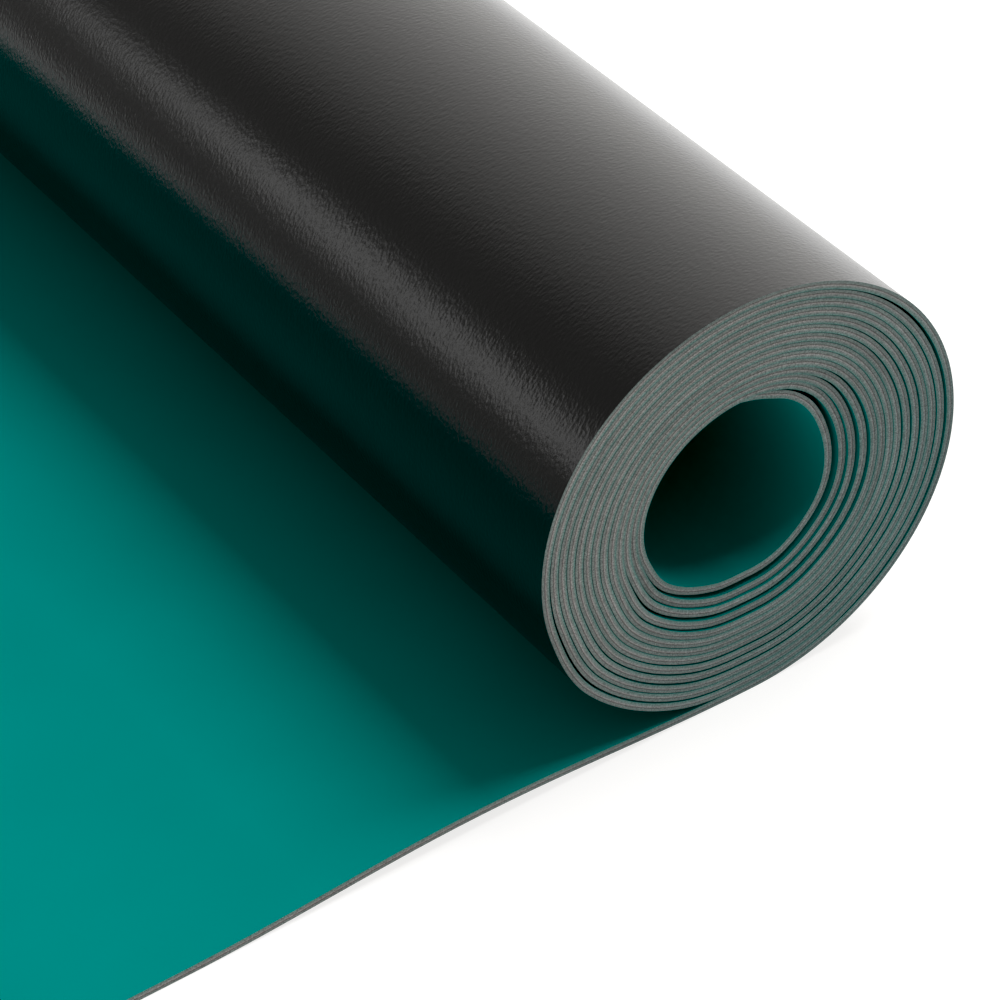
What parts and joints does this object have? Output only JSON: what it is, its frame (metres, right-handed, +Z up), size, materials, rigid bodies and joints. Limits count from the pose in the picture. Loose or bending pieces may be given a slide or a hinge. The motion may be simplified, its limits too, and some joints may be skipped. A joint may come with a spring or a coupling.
{
  "type": "anti-static bench mat",
  "caption": "Layered rubber bench mat, green over black, wound into a loose open-bore roll whose outer end lies flat in a gentle wave.",
  "frame": {"origin": "middle of the part's bounding box, on the bench it lies on", "axes": "+Y along the roll's axis, -Y to the end face seen in the picture, -X along the flat run to its free end, +Z up"},
  "size_m": [0.7558, 0.6022, 0.1062],
  "materials": {
    "black_base_layer": "satin with a fine leather-like grain",
    "green_top_layer": "smooth matt"
  },
  "bodies": {
    "root": {"black_base_layer": "black_base_layer", "green_top_layer": "green_top_layer"}
  },
  "joints": []
}
